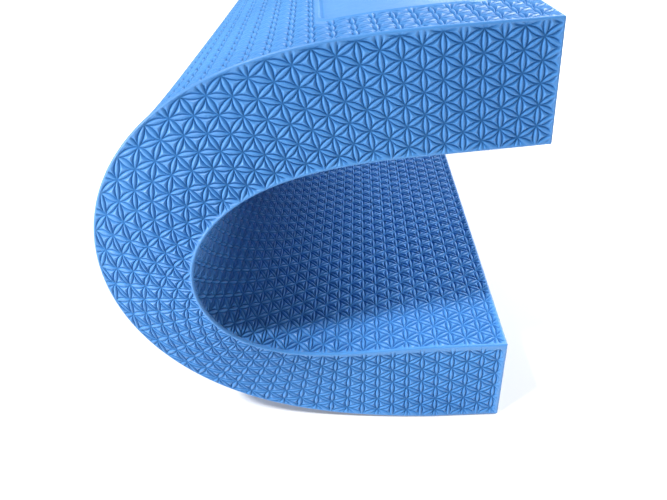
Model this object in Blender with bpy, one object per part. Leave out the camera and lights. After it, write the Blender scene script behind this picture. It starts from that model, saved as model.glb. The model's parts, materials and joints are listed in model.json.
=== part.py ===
"""A thick foam mat, moulded in one piece and folded into a C on its lower leaf.

The foam is one slab. Here it is a chain of rigid slab segments that turn about fold lines at
mid-thickness. Each segment is drawn in the flat mat and then carried round by the folds before it.
The outer halves of neighbours meet when the mat is flat, and the inner halves when it is folded.
"""

import math

import bmesh
import bpy
from mathutils import Matrix, Vector

LENGTH = 0.500
WIDTH = 0.410
THICKNESS = 0.060
HALF = THICKNESS / 2
EDGE_RADIUS = 0.003
EDGE_STEPS = 3
PLAY = 0.0005

# How fast the mat turns along its length, measured from the free end of the lower leaf.
BEND_PEAK = 0.2182
BEND_BEFORE = 0.1508
BEND_AFTER = 0.2360
BEND_RATE = 11.96
# Where the fold lines cross the middle of the width.
FOLD_LINES = (0.127, 0.158, 0.182, 0.210, 0.238, 0.266, 0.294, 0.322, 0.351, 0.384, 0.422)
# Which share of the bend each fold gathers: the stretch of the mat between two of these.
FOLD_SHARES = (
    0.0, 0.148, 0.168, 0.196, 0.224, 0.252, 0.280, 0.308, 0.336, 0.368, 0.402, LENGTH
)
# The fold lines fan out a little, as in a sheet that is bent by a pull at one corner.
FAN_MIDDLE = 0.0184
FAN_SWING = 0.0549
FAN_REACH = 0.156
# How much further than its rest angle each fold can close, as a share of that angle.
CLOSING = 0.08

PANEL_FROM_END = 0.103
PANEL_LENGTH = 0.076
PANEL_FROM_SIDE = 0.036
PANEL_WIDTH = 0.170
PANEL_DEPTH = 0.001
PANEL_CORNER = 0.008

NAMES = (
    ["lower_leaf"]
    + [f"bend_segment_{i}" for i in range(1, len(FOLD_LINES))]
    + ["upper_leaf"]
)
BLUE = (0.075, 0.235, 0.610, 1.0)


def clear_scene():
    for obj in list(bpy.data.objects):
        bpy.data.objects.remove(obj, do_unlink=True)
    for mesh in list(bpy.data.meshes):
        bpy.data.meshes.remove(mesh)


def turned_up_to(u):
    """Angle that the mat has turned through at distance u along it, in radians."""
    d = u - BEND_PEAK
    before = min(max(d, -BEND_BEFORE), 0.0)
    after = min(max(d, 0.0), BEND_AFTER)
    rise = before - before**3 / (3 * BEND_BEFORE**2) + BEND_BEFORE * 2 / 3
    fall = after - after**3 / (3 * BEND_AFTER**2)
    return BEND_RATE * (rise + fall)


def fan_angle(u):
    share = (u - BEND_PEAK) / FAN_REACH
    return FAN_MIDDLE + FAN_SWING * min(max(share, -1.0), 1.0)


def fold_list():
    """Each fold in the flat mat: distance along, direction of its line, angle at rest."""
    folds = []
    for u, start, end in zip(FOLD_LINES, FOLD_SHARES, FOLD_SHARES[1:]):
        angle = turned_up_to(end) - turned_up_to(start)
        folds.append((u, fan_angle(u), angle))
    return folds


def fold_point(u):
    return Vector((-u, 0.0, HALF))


def fold_axis(lean):
    return Vector((-math.sin(lean), math.cos(lean), 0.0))


def fold_matrix(u, lean, angle):
    move = Matrix.Translation(fold_point(u))
    return move @ Matrix.Rotation(angle, 4, fold_axis(lean)) @ move.inverted()


def rest_matrices(folds):
    """How each piece is carried from the flat mat to the folded one, root first."""
    carried = [Matrix.Identity(4)]
    for fold in folds:
        carried.append(carried[-1] @ fold_matrix(*fold))
    return carried


def section(before, after, y):
    """Outline of one piece where the mat is cut across at y: (along, height) pairs.

    before and after are the folds at its two ends, or None at the end of the mat.
    """
    if before is None:
        low_outer = low_inner = 0.0
        low_middle = None
    else:
        u, lean, angle = before
        low_outer = u + y * math.tan(lean) + PLAY / 2
        low_middle = low_outer
        low_inner = low_outer + HALF * math.tan(angle * (1 + CLOSING) / 2) / math.cos(lean)
    if after is None:
        high_outer = high_inner = LENGTH
        high_middle = None
    else:
        u, lean, angle = after
        high_outer = u + y * math.tan(lean) - PLAY / 2
        high_middle = high_outer
        high_inner = high_outer - HALF * math.tan(angle * (1 + CLOSING) / 2) / math.cos(lean)
    outline = [(low_outer, 0.0)]
    if low_middle is not None:
        outline.append((low_middle, HALF))
    outline += [(low_inner, THICKNESS), (high_inner, THICKNESS)]
    if high_middle is not None:
        outline.append((high_middle, HALF))
    outline.append((high_outer, 0.0))
    return outline


def is_moulded_edge(edge, ends):
    """True for an edge of the moulded slab itself, where two of its own faces meet."""
    a, b = (v.co for v in edge.verts)
    both_side = all(abs(abs(p.y) - WIDTH / 2) < 1e-6 for p in (a, b))
    both_face = all(min(p.z, THICKNESS - p.z) < 1e-6 for p in (a, b)) and abs(a.z - b.z) < 1e-6
    both_end = any(abs(-a.x - end) < 1e-6 and abs(-b.x - end) < 1e-6 for end in ends)
    return both_side + both_face + both_end >= 2


def segment_mesh(name, before, after):
    bm = bmesh.new()
    rings = []
    for y in (-WIDTH / 2, WIDTH / 2):
        outline = section(before, after, y)
        rings.append([bm.verts.new((-along, y, height)) for along, height in outline])
    near, far = rings
    count = len(near)
    bm.faces.new(near)
    bm.faces.new(list(reversed(far)))
    for i in range(count):
        j = (i + 1) % count
        bm.faces.new((near[j], near[i], far[i], far[j]))
    bmesh.ops.recalc_face_normals(bm, faces=bm.faces)
    ends = ([0.0] if before is None else []) + ([LENGTH] if after is None else [])
    edges = [edge for edge in bm.edges if is_moulded_edge(edge, ends)]
    bmesh.ops.bevel(
        bm,
        geom=edges,
        offset=EDGE_RADIUS,
        offset_type="OFFSET",
        segments=EDGE_STEPS,
        profile=0.5,
        affect="EDGES",
        clamp_overlap=True,
    )
    mesh = bpy.data.meshes.new(name)
    bm.to_mesh(mesh)
    bm.free()
    return mesh


def foam_material(name):
    material = bpy.data.materials.new(name)
    material.use_nodes = True
    shader = material.node_tree.nodes["Principled BSDF"]
    shader.inputs["Base Color"].default_value = BLUE
    shader.inputs["Roughness"].default_value = 0.55
    return material


def panel_cutter(collection):
    """Rounded block that presses the blank panel into the outer face near the upper end."""
    bm = bmesh.new()
    bmesh.ops.create_cube(bm, size=1.0)
    high = 0.010
    bmesh.ops.scale(bm, vec=(PANEL_LENGTH, PANEL_WIDTH, high), verts=bm.verts)
    centre = Vector(
        (
            -(LENGTH - PANEL_FROM_END + PANEL_LENGTH / 2),
            -WIDTH / 2 + PANEL_FROM_SIDE + PANEL_WIDTH / 2,
            PANEL_DEPTH - high / 2,
        )
    )
    bmesh.ops.translate(bm, vec=centre, verts=bm.verts)
    upright = [e for e in bm.edges if abs(e.verts[0].co.z - e.verts[1].co.z) > high / 2]
    bmesh.ops.bevel(
        bm, geom=upright, offset=PANEL_CORNER, segments=5, profile=0.5, affect="EDGES"
    )
    mesh = bpy.data.meshes.new("panel_cutter")
    bm.to_mesh(mesh)
    bm.free()
    cutter = bpy.data.objects.new("panel_cutter", mesh)
    cutter.hide_render = True
    cutter.display_type = "WIRE"
    collection.objects.link(cutter)
    return cutter


def build():
    clear_scene()
    collection = bpy.data.collections.new("foam_balance_mat")
    bpy.context.scene.collection.children.link(collection)
    folds = fold_list()
    carried = rest_matrices(folds)
    pieces = []
    for i, name in enumerate(NAMES):
        before = folds[i - 1] if i > 0 else None
        after = folds[i] if i < len(folds) else None
        mesh = segment_mesh(name, before, after)
        origin = fold_point(before[0]) if before else Vector((-LENGTH / 4, 0.0, 0.0))
        obj = bpy.data.objects.new(name, mesh)
        mesh.transform(Matrix.Translation(-origin))
        mesh.materials.append(foam_material(name))
        obj.matrix_world = carried[i] @ Matrix.Translation(origin)
        collection.objects.link(obj)
        pieces.append(obj)

    # The panel reaches over the last fold line, so it is pressed into both pieces there.
    cutters = []
    for piece, matrix in list(zip(pieces, carried))[-2:]:
        cutter = panel_cutter(collection)
        cutter.matrix_world = matrix
        cut = piece.modifiers.new("panel", "BOOLEAN")
        cut.operation = "DIFFERENCE"
        cut.solver = "EXACT"
        cut.object = cutter
        cutters.append(cutter)

    points = [obj.matrix_world @ v.co for obj in pieces for v in obj.data.vertices]
    low = [min(p[k] for p in points) for k in range(3)]
    high = [max(p[k] for p in points) for k in range(3)]
    centred = Matrix.Translation((-(low[0] + high[0]) / 2, -(low[1] + high[1]) / 2, -low[2]))
    for obj in pieces + cutters:
        obj.matrix_world = centred @ obj.matrix_world
    return folds, [centred @ m for m in carried]


FOLDS, CARRIED = build()
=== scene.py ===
"""A thick foam mat folded into a C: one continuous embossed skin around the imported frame.

The skin is drawn flat, in metres: s along the mat from the lower free end, y across its width, and t
through its thickness, from the outer face (-) to the inner face (+). It is then carried round the fold.
"""

import json
import math

import bpy
import numpy as np
from mathutils import Matrix, Vector


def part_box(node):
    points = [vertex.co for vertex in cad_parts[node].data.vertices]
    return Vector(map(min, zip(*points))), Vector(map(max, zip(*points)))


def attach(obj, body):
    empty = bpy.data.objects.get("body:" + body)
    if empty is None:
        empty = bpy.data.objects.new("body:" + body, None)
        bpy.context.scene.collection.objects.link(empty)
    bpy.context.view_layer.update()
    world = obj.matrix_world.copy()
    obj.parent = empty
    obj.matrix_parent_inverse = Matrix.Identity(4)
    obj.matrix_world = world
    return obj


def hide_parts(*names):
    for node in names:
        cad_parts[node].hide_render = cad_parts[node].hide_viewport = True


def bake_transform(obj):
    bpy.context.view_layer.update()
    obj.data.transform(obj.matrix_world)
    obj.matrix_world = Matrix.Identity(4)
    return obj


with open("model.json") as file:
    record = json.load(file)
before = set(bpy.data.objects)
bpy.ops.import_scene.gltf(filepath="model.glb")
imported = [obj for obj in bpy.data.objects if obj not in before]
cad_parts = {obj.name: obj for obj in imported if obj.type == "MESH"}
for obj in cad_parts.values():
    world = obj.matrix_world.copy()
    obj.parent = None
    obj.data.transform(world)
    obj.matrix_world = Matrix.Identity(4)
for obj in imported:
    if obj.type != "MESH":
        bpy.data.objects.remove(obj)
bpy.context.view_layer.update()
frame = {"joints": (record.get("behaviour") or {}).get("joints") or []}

LENGTH = 0.500
WIDTH = 0.410
THICKNESS = 0.063
HALF = THICKNESS / 2
HALF_WIDTH = WIDTH / 2

# The fold: a smooth bend that the CAD's eleven folds stand in for.
BEND_PEAK = 0.2140
BEND_BEFORE = 0.1738
BEND_AFTER = 0.2479
BEND_RATE = 12.04
BEND_REACH = 0.208
BEND_SKEW = 0.380
BEND_CURB = 0.592
FOLD_LINES = (0.127, 0.158, 0.182, 0.210, 0.238, 0.266, 0.294, 0.322, 0.351, 0.384, 0.422)
FAN_MIDDLE = 0.0260
FAN_SWING = 0.0435
FAN_REACH = 0.156
# The mat is carried round the bend in short steps, which run on a little past its end.
FINE_STEP = 0.002
FINE_BEYOND = 0.04
# Bent foam is squeezed thinner, swells sideways on the inside of the bend, draws in on the outside,
# and arches across its width. Past the bend its sections lean a little.
SQUEEZE = 0.1515
SQUEEZE_BIAS = 0.0633
SWELL = 0.0201
ARCH = 0.0080
SWELL_REACH = 0.0312
LEAN = 0.0324
LEAN_FROM = 0.104
LEAN_REACH = 0.229

# The relief: overlapping circles of radius PITCH, centred on a triangular lattice.
PITCH = 0.0104
COLUMN = PITCH * math.sqrt(3) / 2
# On the long sides the rows stand a little further apart, and drift slightly along the mat.
SIDE_PITCH = 0.0109
SIDE_SLOPE = 0.0069
# One node of the lattice on the large faces, on the long sides and on the ends.
FACE_NODE = (0.535 * PITCH, -HALF_WIDTH + 0.7525 * PITCH)
SIDE_NODE = (0.486 * PITCH, 0.624 * PITCH)
END_NODE = (-HALF_WIDTH + 0.75 * PITCH, 0.0)
# How finely an arc between two nodes is drawn, and the shares at which the rows of points in a petal and
# the rings of points in the curved triangle between three petals stand.
ARC_STEPS = 5
PETAL_ROWS = (0.0, 0.50, 0.78, 1.0)
CORE_RINGS = (0.0, 0.12, 0.28, 0.56, 1.0)
# The grooves along the circles: their depth on the large faces and on the other four, how far each
# slopes and carries painted shade on either side, in pitches, and how sharply it slopes.
FACE_GROOVE = 0.00195
SIDE_GROOVE = 0.0014
GROOVE_REACH = 0.165
GROOVE_SHADE_REACH = 0.085
GROOVE_POWER = 2.4

# The slab's rounded edges, and the spacing of the points along them.
EDGE_RADIUS = 0.0010
EDGE_FLAT = 0.0002
EDGE_ROWS = 4
EDGE_SPACING = 0.0016

# The smooth border that the relief leaves along an edge, wider round the lower free end. The long sides'
# borders narrow over the stretch EDGE_NARROWS, measured from that end. The relief fades in over EDGE_FADE,
# measured from the border's width.
EDGE = 0.0017
END_EDGE = 0.0030
OUTER_END_EDGE = 0.0028
INNER_END_EDGE = 0.0040
INNER_EDGE = 0.0019
EDGE_NARROWS = (0.03, 0.15)
EDGE_FADE = (-0.0005, 0.0009)

# The blank panel, sunk into the outer face near the upper free end, with a rounded bead round it and
# inside that a line of painted shade along its sunk wall, as dark as this share of a groove's painted shade.
PANEL_FROM_END = 0.103
PANEL_LENGTH = 0.076
PANEL_FROM_SIDE = 0.036
PANEL_WIDTH = 0.170
PANEL_DEPTH = 0.0009
PANEL_CORNER = 0.008
PANEL_BEAD = 0.0006
PANEL_SHADE_LINE = 0.9
# Distances past the panel's outline: its slope down, and the middles of the bead and of the painted shade
# line.
PANEL_SLOPE = (-0.0016, 0.0004)
PANEL_BEAD_AT = 0.0006
PANEL_SHADE_LINE_AT = -0.0010
# Distances from those middles over which the bead and the painted shade line fade.
PANEL_BEAD_FADE = (0.0002, 0.0014)
PANEL_SHADE_LINE_FADE = (0.0004, 0.0014)
# The plain grid that stands in for the relief there, and how the relief fades in beyond it.
PANEL_MARGIN = 0.002
PANEL_SPACING = 0.0009
PANEL_FADE = (0.0001, 0.0014)

# Points closer than WELD are one point. The shift keeps common coordinates off the limits of its cells.
WELD = 2e-6
WELD_SHIFT = 0.317
WELD_STRIDE = 4000037
# A cut that passes this close to a point goes through the point.
CUT_SNAP = 0.00012
# A distance beyond everything.
FAR = 9.0

# Where the skin of the two leaves is cut into pieces; the bend is cut halfway between its folds.
LOWER_CUTS = (0.0, 0.034, 0.068, 0.102)
UPPER_CUTS = (0.436, 0.468, LENGTH)
NODES = ["lower_leaf", *(f"bend_segment_{i}" for i in range(1, len(FOLD_LINES))), "upper_leaf"]
# The numbers of the slab's end faces, after its two large faces and its two long sides.
LOWER_END, UPPER_END = 4, 5


# ---------------------------------------------------------------- the fold


def bend_rate(u):
    """How fast the mat turns at distance u along it, in radians per metre."""
    d = u - BEND_PEAK
    reach = np.where(d < 0, BEND_BEFORE, BEND_AFTER)
    shape = 1 + BEND_SKEW * d / BEND_REACH - BEND_CURB * (d / BEND_REACH) ** 2
    return BEND_RATE * np.clip(1 - (d / reach) ** 2, 0, None) * shape


def fan_angle(u):
    """How far the fold line at u is turned from square across the mat."""
    return FAN_MIDDLE + FAN_SWING * np.clip((u - BEND_PEAK) / FAN_REACH, -1, 1)


def fold_place(s, y):
    """Where along the middle of the mat the fold line through (s, y) crosses it."""
    u = np.array(s, float)
    for _ in range(4):
        u = s - y * np.tan(fan_angle(u))
    return u


def fine_chain():
    """Matrices that carry each short stretch of the flat mat to its place."""
    places = np.arange(0.0, LENGTH + FINE_BEYOND, FINE_STEP)
    carried = [Matrix.Identity(4)]
    for u in places:
        lean = float(fan_angle(u))
        angle = float(bend_rate(u)) * FINE_STEP
        move = Matrix.Translation((-u, 0.0, HALF))
        axis = Vector((-math.sin(lean), math.cos(lean), 0.0))
        carried.append(carried[-1] @ move @ Matrix.Rotation(angle, 4, axis) @ move.inverted())
    return np.array([np.array(m) for m in carried])


CHAIN = fine_chain()
LEAF_LOW, LEAF_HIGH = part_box("lower_leaf")
FREE_END = LEAF_HIGH[0]
MIDDLE_Y = (LEAF_LOW[1] + LEAF_HIGH[1]) / 2


def fold(points):
    """Carries points of the flat mat, as rows of (s, y, t), to the folded mat in the row frame."""
    s, y, t = points.T
    u = fold_place(s, y)
    rate = bend_rate(u)
    near = np.exp(-np.clip(y + HALF_WIDTH, 0, None) / SWELL_REACH)
    far = np.exp(-np.clip(HALF_WIDTH - y, 0, None) / SWELL_REACH)
    height = t * (1 - SQUEEZE * rate / BEND_RATE) + SQUEEZE_BIAS * rate * t * t / 2
    height += HALF + ARCH * rate * SWELL_REACH * (1 - near - far)
    across = y - SWELL * rate * t * (near - far)
    along = s + LEAN * t * np.clip((u - LEAN_FROM) / LEAN_REACH, 0, 1)
    flat = np.column_stack([-along, across, height, np.ones(len(s))])
    # A point goes with the two stretches nearest to it, by its distance from their middles.
    place = np.clip(u / FINE_STEP + 0.5, 0, len(CHAIN) - 1.001)
    index = place.astype(int)
    share = (place - index)[:, None]
    before = np.einsum("nij,nj->ni", CHAIN[index, :3], flat)
    after = np.einsum("nij,nj->ni", CHAIN[index + 1, :3], flat)
    return before * (1 - share) + after * share + (FREE_END, MIDDLE_Y, 0.0)


# ---------------------------------------------------------------- the relief


def smooth(x, low, high):
    """0 below low, 1 above high, and a smooth step between."""
    x = np.clip((x - low) / (high - low), 0, 1)
    return x * x * (3 - 2 * x)


def relief_height(d, groove):
    """Height of the relief at distance d from the nearest groove, in pitches; the tops are at 0."""
    return -groove * (1 - np.clip(d / GROOVE_REACH, 0, 1)) ** GROOVE_POWER


def lattice_triangle():
    """One triangle of the relief: points as shares of its corners, their distances to a groove, faces."""
    corners = np.array([(0.0, 0.0), (1.0, 0.0), (0.5, math.sqrt(3) / 2)])
    centre = corners.mean(axis=0)
    found, faces, number = [], [], {}

    def point(p):
        key = tuple(np.round(p, 7) + 0.0)
        if key not in number:
            number[key] = len(found)
            found.append(p)
        return number[key]

    def quad(a, b, c, d):
        for face in ((a, b, c), (a, c, d)):
            if len(set(face)) < 3:
                continue
            (ax, ay), (bx, by), (cx, cy) = (found[i] for i in face)
            area = (bx - ax) * (cy - ay) - (by - ay) * (cx - ax)
            if abs(area) > 1e-9:
                faces.append(face if area > 0 else face[::-1])

    def grid(rows):
        for low, high in zip(rows, rows[1:]):
            for k in range(ARC_STEPS):
                quad(low[k], low[k + 1], high[k + 1], high[k])

    for e in range(3):
        p, q, r = corners[e], corners[(e + 1) % 3], corners[(e + 2) % 3]
        pivot = p + q - r
        start = math.atan2(*(p - pivot)[::-1])
        turn = -math.pi / 3
        angles = start + turn * np.linspace(0, 1, ARC_STEPS + 1)
        arc = pivot + np.column_stack([np.cos(angles), np.sin(angles)])
        arc[0], arc[-1] = p, q
        edge = p + np.outer((arc - p) @ (q - p), q - p)
        grid([[point(a + (b - a) * v) for a, b in zip(edge, arc)] for v in PETAL_ROWS])
        grid([[point(a + (centre - a) * v) for a in arc] for v in CORE_RINGS])

    found = np.array(found)
    step = np.array([(1.0, 0.0), (0.5, math.sqrt(3) / 2)])
    nodes = np.array([i * step[0] + j * step[1] for i in range(-3, 5) for j in range(-3, 5)])
    reach = np.linalg.norm(found[:, None] - nodes[None], axis=2)
    d = np.abs(reach - 1).min(axis=1)
    basis = np.linalg.inv(np.column_stack([corners, np.ones(3)]).T)
    shares = (basis @ np.column_stack([found, np.ones(len(found))]).T).T
    return shares, d, np.array(faces)


TRIANGLE = lattice_triangle()


def cell_key(points):
    """One whole number for each point, the same for points that are one point."""
    key = 0
    for cells in np.floor(points / WELD + WELD_SHIFT).astype(np.int64).T:
        key = key * WELD_STRIDE + cells
    return key


def weld(points, faces):
    """A sheet with its repeated points made one."""
    _, first, index = np.unique(cell_key(points[:, :2]), return_index=True, return_inverse=True)
    return points[first], index.reshape(-1)[faces]


def clip(points, faces, axis, limit, sign):
    """Keeps the part of a triangle mesh where sign * (coordinate - limit) <= 0, cut exactly there."""
    side = sign * (points[:, axis] - limit)
    close = np.abs(side) < CUT_SNAP
    points[close, axis] = limit
    side[close] = 0
    inside = (side <= 0)[faces]
    count = inside.sum(axis=1)
    kept = [faces[count == 3]]
    new_points = [points]
    total = len(points)

    def cut(a, b):
        """Points where the edges a-b cross the line, shared between faces."""
        nonlocal total
        ends = np.sort(np.column_stack([a, b]), axis=1)
        edges, index = np.unique(ends, axis=0, return_inverse=True)
        fa, fb = side[edges[:, 0]], side[edges[:, 1]]
        share = (fa / (fa - fb))[:, None]
        made = points[edges[:, 0]] * (1 - share) + points[edges[:, 1]] * share
        made[:, axis] = limit
        new_points.append(made)
        total += len(made)
        return index.reshape(-1) + total - len(made)

    one = faces[count == 1]
    first = inside[count == 1].argmax(axis=1)
    rows = np.arange(len(one))
    a, b, c = (one[rows, (first + k) % 3] for k in range(3))
    two = faces[count == 2]
    out = (~inside[count == 2]).argmax(axis=1)
    rows = np.arange(len(two))
    d, e, f = (two[rows, (out + k) % 3] for k in range(3))
    crossing = cut(np.concatenate([a, a, d, d]), np.concatenate([b, c, e, f]))
    ab, ac, de, df = np.split(crossing, np.cumsum([len(a), len(a), len(d)]))
    kept.append(np.column_stack([a, ab, ac]))
    kept.append(np.column_stack([de, e, f]))
    kept.append(np.column_stack([de, f, df]))
    points, faces = np.concatenate(new_points), np.concatenate(kept)
    faces = faces[(faces[:, 0] != faces[:, 1]) & (faces[:, 1] != faces[:, 2]) & (faces[:, 0] != faces[:, 2])]
    used, index = np.unique(faces, return_inverse=True)
    return points[used], index.reshape(-1, 3)


def clip_to(sheet, low, high):
    """The part of a sheet inside a rectangle."""
    for axis in (0, 1):
        sheet = clip(*sheet, axis, low[axis], -1)
        sheet = clip(*sheet, axis, high[axis], 1)
    return sheet


def relief_sheet(low, high, first, slope, row):
    """The relief over a rectangle, as points (a, b, d) and faces. first is a node, slope its rows' lean."""
    shares, d, faces = TRIANGLE
    i0 = int(math.floor((low[0] - first[0]) / COLUMN)) - 1
    i1 = int(math.ceil((high[0] - first[0]) / COLUMN)) + 1
    lean = abs(slope) * (high[0] - low[0])
    j0 = int(math.floor((low[1] - first[1] - lean) / row)) - 2
    j1 = int(math.ceil((high[1] - first[1] + lean) / row)) + 2
    i, j = (g.ravel() for g in np.meshgrid(np.arange(i0, i1), np.arange(j0, j1), indexing="ij"))
    odd = i % 2

    def node(di, dj):
        a = first[0] + (i + di) * COLUMN
        b = first[1] + (j + dj + ((i + di) % 2) / 2) * row + slope * (a - first[0])
        return np.column_stack([a, b])

    here, above = node(0, 0), node(0, 1)
    right = np.where(odd[:, None] == 1, node(1, 1), node(1, 0))
    right_below = np.where(odd[:, None] == 1, node(1, 0), node(1, -1))
    corners = np.concatenate([np.stack([here, right, above], 1), np.stack([here, right_below, right], 1)])
    placed = np.einsum("vc,nck->nvk", shares, corners).reshape(-1, 2)
    points = np.column_stack([placed, np.tile(d, len(corners))])
    triangles = (faces[None] + (np.arange(len(corners)) * len(shares))[:, None, None]).reshape(-1, 3)
    inside = np.ones(len(points), bool)
    for axis in (0, 1):
        inside &= (points[:, axis] > low[axis] - 2 * PITCH) & (points[:, axis] < high[axis] + 2 * PITCH)
    triangles = triangles[inside[triangles].all(axis=1)]
    points, triangles = weld(points, triangles)
    return clip_to((points, triangles), low, high)


def grid_sheet(a, b, keep=None):
    """A plain grid of triangles over the coordinates a and b, without the cells keep turns down."""
    points = np.column_stack([g.ravel() for g in np.meshgrid(a, b, indexing="ij")])
    i, j = (g.ravel() for g in np.meshgrid(np.arange(len(a) - 1), np.arange(len(b) - 1), indexing="ij"))
    if keep is not None:
        wanted = keep(i, j)
        i, j = i[wanted], j[wanted]
    n = len(b)
    corner = i * n + j
    quads = np.column_stack([corner, corner + n, corner + n + 1, corner + 1])
    faces = np.concatenate([quads[:, [0, 1, 2]], quads[:, [0, 2, 3]]])
    return np.column_stack([points, np.full(len(points), FAR)]), faces


def edge_coordinates(low, high):
    """Coordinates across a face: close rows round its edges, then even steps."""
    rows = EDGE_RADIUS * (1 - np.tan(np.linspace(math.pi / 4, 0, EDGE_ROWS)))
    rows = np.append(rows, EDGE_RADIUS + EDGE_FLAT)
    start, end = low + rows[-1], high - rows[-1]
    steps = max(2, int(round((end - start) / EDGE_SPACING)))
    inner = np.linspace(start, end, steps + 1)
    return np.concatenate([low + rows[:-1], inner, high - rows[:-1][::-1]])


def rim_sheet(low, high):
    """The smooth band round a face, with a window where its relief goes."""
    a, b = edge_coordinates(low[0], high[0]), edge_coordinates(low[1], high[1])
    n = EDGE_ROWS

    def keep(i, j):
        return (i < n) | (i >= len(a) - 1 - n) | (j < n) | (j >= len(b) - 1 - n)

    return grid_sheet(a, b, keep)


def joined(sheets):
    """Several sheets as one set of points and faces."""
    points, faces, count = [], [], 0
    for p, f in sheets:
        points.append(p)
        faces.append(f + count)
        count += len(p)
    return np.concatenate(points), np.concatenate(faces)


# ---------------------------------------------------------------- the six faces


def border_share(points, low, high, borders):
    """0 on the smooth border of a face, 1 where the relief is at full depth.

    borders holds the border's width along each edge, at the lower free end and far from it.
    """
    a, b = points[:, 0], points[:, 1]
    distances = [a - low[0], high[0] - a, b - low[1], high[1] - b]
    share = np.ones(len(points))
    for distance, (start, rest) in zip(distances, borders):
        width = rest + (start - rest) * (1 - smooth(a, low[0] + EDGE_NARROWS[0], low[0] + EDGE_NARROWS[1]))
        share = np.minimum(share, smooth(distance, width + EDGE_FADE[0], width + EDGE_FADE[1]))
    return share


def panel_window(margin=0.0):
    """Two opposite corners of the rectangle round the blank panel, with a margin."""
    start = np.array([LENGTH - PANEL_FROM_END, -HALF_WIDTH + PANEL_FROM_SIDE])
    return start - margin, start + (PANEL_LENGTH, PANEL_WIDTH) + margin


def panel_distance(points):
    """Signed distance from the outline of the blank panel, negative inside."""
    start, end = panel_window()
    q = np.abs(points[:, :2] - (start + end) / 2) - (end - start) / 2 + PANEL_CORNER
    return np.linalg.norm(np.clip(q, 0, None), axis=1) + np.clip(q.max(axis=1), None, 0) - PANEL_CORNER


def around_panel(relief, low, high):
    """The sheets of a face whose relief gives way to a plain grid where the panel is."""
    start, end = panel_window(PANEL_MARGIN)
    parts = [((-FAR, -FAR), (start[0], FAR)), ((end[0], -FAR), (FAR, FAR))]
    parts += [((start[0], -FAR), (end[0], start[1])), ((start[0], end[1]), (end[0], FAR))]
    sheets = []
    for part_low, part_high in parts:
        part_low, part_high = np.maximum(part_low, low), np.minimum(part_high, high)
        sheets.append(clip_to((relief[0].copy(), relief[1]), part_low, part_high))
    steps = [int(round(n / PANEL_SPACING)) for n in end - start]
    sheets.append(grid_sheet(*[np.linspace(start[k], end[k], steps[k] + 1) for k in (0, 1)]))
    return sheets


def add_panel(points, height, depth):
    """The heights and groove shares (painted groove shade and dullness) of the outer face with the panel
    sunk into it, and a painted shade line along the panel's sunk wall.
    """
    start, end = panel_window(PANEL_MARGIN)
    beyond = np.maximum(start - points[:, :2], points[:, :2] - end).max(axis=1)
    outside = smooth(beyond, *PANEL_FADE)
    away = panel_distance(points)
    bead = 1 - smooth(np.abs(away - PANEL_BEAD_AT), *PANEL_BEAD_FADE)
    # A line of painted shade along the panel's sunk wall.
    line = 1 - smooth(np.abs(away - PANEL_SHADE_LINE_AT), *PANEL_SHADE_LINE_FADE)
    height = height * outside - PANEL_DEPTH * (1 - smooth(away, *PANEL_SLOPE)) + PANEL_BEAD * bead
    return height, np.maximum(depth * outside, PANEL_SHADE_LINE * line)


def face_sheet(low, high, first, slope, row, groove, borders, panel):
    """Relief and rim of one face of the slab: points (a, b), heights, groove shares (0 to 1) for painted
    groove shade and dullness, and faces.
    """
    low, high = np.array(low), np.array(high)
    inset = EDGE_RADIUS + EDGE_FLAT
    relief = relief_sheet(low + inset, high - inset, first, slope, row)
    sheets = around_panel(relief, low + inset, high - inset) if panel else [relief]
    points, faces = joined([*sheets, rim_sheet(low, high)])
    share = border_share(points, low, high, borders)
    height = relief_height(points[:, 2], groove) * share
    # Each point's share of groove, which paints shade into the grooves and makes them duller.
    depth = np.clip(1 - points[:, 2] / GROOVE_SHADE_REACH, 0, 1) * share
    if panel:
        height, depth = add_panel(points, height, depth)
    return points[:, :2], height, depth, faces


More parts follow.
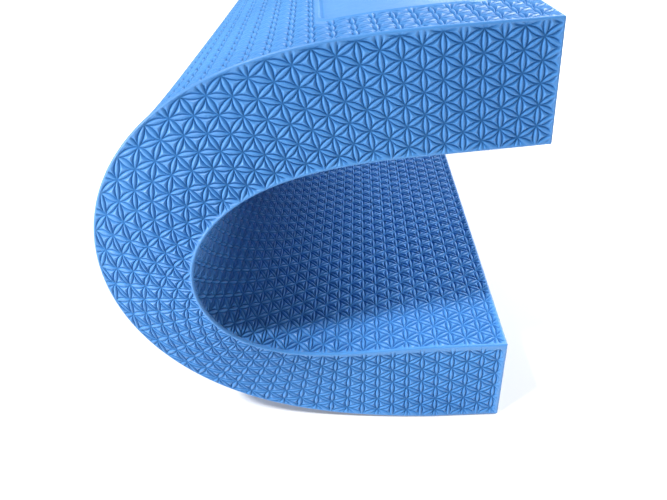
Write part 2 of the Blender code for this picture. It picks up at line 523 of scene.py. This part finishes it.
def slab_skin():
    """All six faces of the slab in one set of arrays: flat points, groove share for painted groove shade and
    dullness, faces, face number.
    """
    long_low, long_high = (0.0, -HALF_WIDTH), (LENGTH, HALF_WIDTH)
    side_low, side_high = (0.0, -HALF), (LENGTH, HALF)
    end_low, end_high = (-HALF_WIDTH, -HALF), (HALF_WIDTH, HALF)
    wide, narrow = ((END_EDGE, END_EDGE),) * 4, ((EDGE, EDGE),) * 4
    mixed = (wide[0], narrow[0], (OUTER_END_EDGE, EDGE), (INNER_END_EDGE, INNER_EDGE))
    large = (long_low, long_high, FACE_NODE, 0.0, PITCH, FACE_GROOVE, narrow)
    side = (side_low, side_high, SIDE_NODE, SIDE_SLOPE, SIDE_PITCH, SIDE_GROOVE, mixed)
    end = (end_low, end_high, END_NODE, 0.0, SIDE_PITCH, SIDE_GROOVE)
    # What face_sheet is told, the slab's axes that lie in the face, the axis across it, and its sign.
    plans = [
        (*large, False, (0, 1), 2, 1),
        (*large, True, (0, 1), 2, -1),
        (*side, False, (0, 2), 1, -1),
        (*side, False, (0, 2), 1, 1),
        (*end, wide, False, (1, 2), 0, -1),
        (*end, narrow, False, (1, 2), 0, 1),
    ]
    middle = np.array([LENGTH / 2, 0.0, 0.0])
    half = np.array([LENGTH / 2, HALF_WIDTH, HALF])
    points, depths, faces, owner, count = [], [], [], [], 0
    for number, (*sheet, axes, across, sign) in enumerate(plans):
        ab, height, depth, triangles = face_sheet(*sheet)
        flat = np.zeros((len(ab), 3))
        flat[:, axes[0]], flat[:, axes[1]] = ab.T
        flat[:, across] = middle[across] + sign * half[across]
        core = np.clip(flat, middle - half + EDGE_RADIUS, middle + half - EDGE_RADIUS)
        out = flat - core
        out /= np.linalg.norm(out, axis=1)[:, None]
        flat = core + out * (EDGE_RADIUS + height[:, None])
        a, b, c = (flat[triangles[:, k]] for k in range(3))
        facing = np.cross(b - a, c - a)[:, across].sum() * sign
        # The slab is mirrored on its way to the row frame, so its faces are wound the other way.
        if facing > 0:
            triangles = triangles[:, ::-1]
        points.append(flat)
        depths.append(depth)
        faces.append(triangles + count)
        owner.append(np.full(len(triangles), number))
        count += len(flat)
    return tuple(np.concatenate(x) for x in (points, depths, faces, owner))


# ---------------------------------------------------------------- the pieces


def unit(rows):
    """The rows at length 1; a row of zeros stays as it is."""
    length = np.linalg.norm(rows, axis=1)
    length[length == 0] = 1
    return rows / length[:, None]


def vertex_normals(points, faces):
    """Smooth normals of the whole skin, so that pieces cut from it show no seams."""
    a, b, c = (points[faces[:, k]] for k in range(3))
    across = np.cross(b - a, c - a)
    total = np.zeros_like(points)
    for k in range(3):
        for axis in range(3):
            total[:, axis] += np.bincount(faces[:, k], across[:, axis], len(points))
    return unit(total)


def weld_rim_normals(flat, normals):
    """Gives points that two faces share along an edge of the slab one normal."""
    _, index, count = np.unique(cell_key(flat), return_inverse=True, return_counts=True)
    index = index.reshape(-1)
    total = np.column_stack([np.bincount(index, normals[:, k]) for k in range(3)])[index]
    return np.where((count[index] > 1)[:, None], unit(total), normals)


def make_piece(name, points, normals, depths, faces, material):
    """One piece of the skin, made of some of its faces."""
    used, index = np.unique(faces, return_inverse=True)
    faces = index.reshape(-1, 3)
    mesh = bpy.data.meshes.new(name)
    mesh.vertices.add(len(used))
    mesh.vertices.foreach_set("co", points[used].astype(np.float32).ravel())
    mesh.loops.add(faces.size)
    mesh.loops.foreach_set("vertex_index", faces.astype(np.int32).ravel())
    mesh.polygons.add(len(faces))
    mesh.polygons.foreach_set("loop_start", np.arange(0, faces.size, 3, dtype=np.int32))
    mesh.polygons.foreach_set("loop_total", np.full(len(faces), 3, np.int32))
    mesh.update(calc_edges=True)
    mesh.shade_smooth()
    mesh.normals_split_custom_set_from_vertices(normals[used].tolist())
    # The groove share paints shade into the grooves and dulls them.
    groove = mesh.attributes.new("groove", "FLOAT", "POINT")
    groove.data.foreach_set("value", depths[used].astype(np.float32))
    mesh.materials.append(material)
    obj = bpy.data.objects.new(name, mesh)
    collection.objects.link(obj)
    return obj


def middle_of(u):
    """The point of the folded mat's middle line at distance u along it."""
    return Vector(fold(np.array([(u, 0.0, 0.0)]))[0])


def blend_over(obj, k, start, end):
    """Works out fold k's axis and the end sections of a stretch of skin over it, uses neither, and bakes the
    piece's placement into its mesh.
    """
    axis = Vector(frame["joints"][k]["axis"])
    a, b = middle_of(start), middle_of(end)
    along = b - a
    along = (along - along.project(axis)).normalized()
    for u in (start, end):
        y, t = (g.ravel() for g in np.meshgrid((-HALF_WIDTH, 0.0, HALF_WIDTH), (-HALF, 0.0, HALF)))
        section = fold(np.column_stack([u + y * np.tan(fan_angle(u)), y, t]))
    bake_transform(obj)


# ---------------------------------------------------------------- materials


def principled(name):
    material = bpy.data.materials.new(name)
    material.use_nodes = True
    tree = material.node_tree
    return material, tree, tree.nodes["Principled BSDF"]


def noise(tree, scale, detail, roughness):
    node = tree.nodes.new("ShaderNodeTexNoise")
    node.inputs["Scale"].default_value = scale
    node.inputs["Detail"].default_value = detail
    node.inputs["Roughness"].default_value = roughness
    tree.links.new(coordinates(tree), node.inputs["Vector"])
    return node.outputs["Fac"]


def coordinates(tree):
    node = tree.nodes.get("Texture Coordinate") or tree.nodes.new("ShaderNodeTexCoord")
    return node.outputs["Object"]


def remap(tree, value, low, high, to_low, to_high):
    node = tree.nodes.new("ShaderNodeMapRange")
    node.inputs["From Min"].default_value = low
    node.inputs["From Max"].default_value = high
    node.inputs["To Min"].default_value = to_low
    node.inputs["To Max"].default_value = to_high
    tree.links.new(value, node.inputs["Value"])
    return node.outputs["Result"]


def mix_colour(tree, share, first, second):
    node = tree.nodes.new("ShaderNodeMix")
    node.data_type = "RGBA"
    for socket, value in ((node.inputs[0], share), (node.inputs[6], first), (node.inputs[7], second)):
        if isinstance(value, tuple):
            socket.default_value = value
        else:
            tree.links.new(value, socket)
    return node.outputs[2]


FOAM_BLUE = (0.041, 0.182, 0.462, 1.0)
FOAM_PALE = (0.056, 0.222, 0.530, 1.0)
# The deep blue below is painted shade for the grooves.
GROOVE_SHADE_BLUE = (0.010, 0.070, 0.250, 1.0)


def foam_material():
    """Dyed closed-cell foam: a fine skin over small cells, with painted shade darkening the grooves, which
    are also duller.
    """
    material, tree, shader = principled("blue_foam")
    links = tree.links
    groove = tree.nodes.new("ShaderNodeAttribute")
    groove.attribute_name = "groove"
    depth = groove.outputs["Fac"]
    clouds = noise(tree, 9.0, 3.0, 0.55)
    mottle = noise(tree, 260.0, 4.0, 0.65)
    grain = noise(tree, 1500.0, 2.0, 0.6)

    body = mix_colour(tree, remap(tree, clouds, 0.35, 0.65, 0.0, 1.0), FOAM_BLUE, FOAM_PALE)
    body = mix_colour(tree, remap(tree, mottle, 0.40, 0.72, 0.0, 0.35), body, FOAM_PALE)
    # Painted shade: the grooves are darkened towards a deep blue.
    colour = mix_colour(tree, remap(tree, depth, 0.50, 1.0, 0.0, 0.50), body, GROOVE_SHADE_BLUE)
    links.new(colour, shader.inputs["Base Color"])

    rough = tree.nodes.new("ShaderNodeMath")
    rough.operation = "ADD"
    links.new(remap(tree, mottle, 0.3, 0.7, 0.36, 0.48), rough.inputs[0])
    links.new(remap(tree, depth, 0.0, 1.0, 0.0, 0.18), rough.inputs[1])
    links.new(rough.outputs[0], shader.inputs["Roughness"])
    shader.inputs["IOR"].default_value = 1.45
    links.new(remap(tree, depth, 0.0, 0.7, 0.55, 0.06), shader.inputs["Specular IOR Level"])
    shader.inputs["Sheen Weight"].default_value = 0.12
    shader.inputs["Sheen Roughness"].default_value = 0.45
    shader.inputs["Sheen Tint"].default_value = (0.62, 0.80, 1.0, 1.0)

    fine = tree.nodes.new("ShaderNodeBump")
    fine.inputs["Strength"].default_value = 0.30
    fine.inputs["Distance"].default_value = 0.00006
    links.new(grain, fine.inputs["Height"])
    coarse = tree.nodes.new("ShaderNodeBump")
    coarse.inputs["Strength"].default_value = 0.45
    coarse.inputs["Distance"].default_value = 0.00022
    links.new(mottle, coarse.inputs["Height"])
    links.new(fine.outputs["Normal"], coarse.inputs["Normal"])
    links.new(coarse.outputs["Normal"], shader.inputs["Normal"])
    return material


# ---------------------------------------------------------------- build

collection = bpy.data.collections.new("foam_balance_mat")
bpy.context.scene.collection.children.link(collection)
foam = foam_material()

flat_points, groove_shade_and_dullness, all_faces, face_owner = slab_skin()
skin_points = fold(flat_points)
skin_normals = weld_rim_normals(flat_points, vertex_normals(skin_points, all_faces))
centres = flat_points[all_faces].mean(axis=1)
face_place = fold_place(centres[:, 0], centres[:, 1])
around = face_owner < LOWER_END

fold_cuts = [LOWER_CUTS[-1]]
fold_cuts += [(a + b) / 2 for a, b in zip(FOLD_LINES, FOLD_LINES[1:])]
fold_cuts.append(UPPER_CUTS[0])


def take(name, wanted):
    obj = make_piece(name, skin_points, skin_normals, groove_shade_and_dullness, all_faces[wanted], foam)
    return obj


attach(take("lower_leaf_end_foam", face_owner == LOWER_END), "lower_leaf")
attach(take("upper_leaf_end_foam", face_owner == UPPER_END), "upper_leaf")
for body, cuts in (("lower_leaf", LOWER_CUTS), ("upper_leaf", UPPER_CUTS)):
    for i, (start, end) in enumerate(zip(cuts, cuts[1:])):
        low = start if start > 0 else -FAR
        high = end if end < LENGTH else FAR
        wanted = around & (face_place >= low) & (face_place < high)
        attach(take(f"{body}_foam_{i + 1}", wanted), body)
bends = []
for k, (start, end) in enumerate(zip(fold_cuts, fold_cuts[1:])):
    wanted = around & (face_place >= start) & (face_place < end)
    bends.append(take(f"bend_foam_{k + 1}", wanted))
    blend_over(bends[k], k, start, end)

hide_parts("lower_leaf")
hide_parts("upper_leaf")
for name, obj in zip(NODES[1:-1], bends[1:]):
    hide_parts(name)

# ---------------------------------------------------------------- studio


FLOOR_HALF = 12.0
FLOOR_DROP = 0.0006


def studio_material():
    material, _, shader = principled("studio_floor")
    shader.inputs["Base Color"].default_value = (0.80, 0.80, 0.80, 1.0)
    shader.inputs["Roughness"].default_value = 0.9
    shader.inputs["Specular IOR Level"].default_value = 0.1
    return material


floor_mesh = bpy.data.meshes.new("studio_floor")
floor_corners = [(x * FLOOR_HALF, y * FLOOR_HALF, 0) for x, y in ((-1, -1), (1, -1), (1, 1), (-1, 1))]
floor_mesh.from_pydata(floor_corners, [], [(0, 1, 2, 3)])
floor_mesh.materials.append(studio_material())
floor = bpy.data.objects.new("studio_floor", floor_mesh)
floor.location.z = -FLOOR_DROP
bpy.context.scene.collection.objects.link(floor)

world = bpy.data.worlds.new("studio")
bpy.context.scene.world = world
world.use_nodes = True
world.node_tree.nodes["Background"].inputs["Color"].default_value = (1.0, 1.0, 1.0, 1.0)
world.node_tree.nodes["Background"].inputs["Strength"].default_value = 0.32


def area_light(name, place, target, size, power):
    light = bpy.data.lights.new(name, "AREA")
    light.shape = "DISK"
    light.size = size
    light.energy = power
    obj = bpy.data.objects.new(name, light)
    obj.location = place
    obj.rotation_euler = (Vector(target) - Vector(place)).to_track_quat("-Z", "Y").to_euler()
    bpy.context.scene.collection.objects.link(obj)


# The key is a sun, so that the floor stays as pale far away as it is near the mat.
sun = bpy.data.lights.new("key", "SUN")
sun.energy = 3.5
sun.angle = math.radians(7)
key = bpy.data.objects.new("key", sun)
key.rotation_euler = Vector((0.70, 0.34, -1.20)).to_track_quat("-Z", "Y").to_euler()
bpy.context.scene.collection.objects.link(key)
area_light("back", (0.60, 1.30, 0.90), (0.05, 0.15, 0.05), 1.0, 7)
area_light("side", (0.90, 0.48, 1.05), (0.08, 0.10, 0.06), 0.8, 26)
area_light("fill", (-0.90, -0.66, 0.30), (-0.08, -0.2, 0.10), 0.4, 9.4)

# The viewpoint, measured from the near corner of the lower free end.
corner = Vector((FREE_END, LEAF_LOW[1], HALF))
camera_data = bpy.data.cameras.new("camera")
camera = bpy.data.objects.new("camera", camera_data)
bpy.context.scene.collection.objects.link(camera)
camera.location = corner + Vector((-0.0798, -0.2141, 0.2651))
right = Vector((0.99939, -0.02909, -0.01923)).normalized()
forward = Vector((0.01541, 0.86300, -0.50496))
forward = (forward - right * forward.dot(right)).normalized()
up = right.cross(forward)
turned = Matrix((right, up, -forward)).transposed().to_4x4()
camera.matrix_world = Matrix.Translation(camera.location) @ turned
camera_data.sensor_width = 36.0
camera_data.lens = 27.96
camera_data.shift_x = -0.0627
camera_data.shift_y = -0.0907
camera_data.clip_start = 0.01
bpy.context.scene.camera = camera

bpy.context.scene.view_settings.view_transform = "Standard"
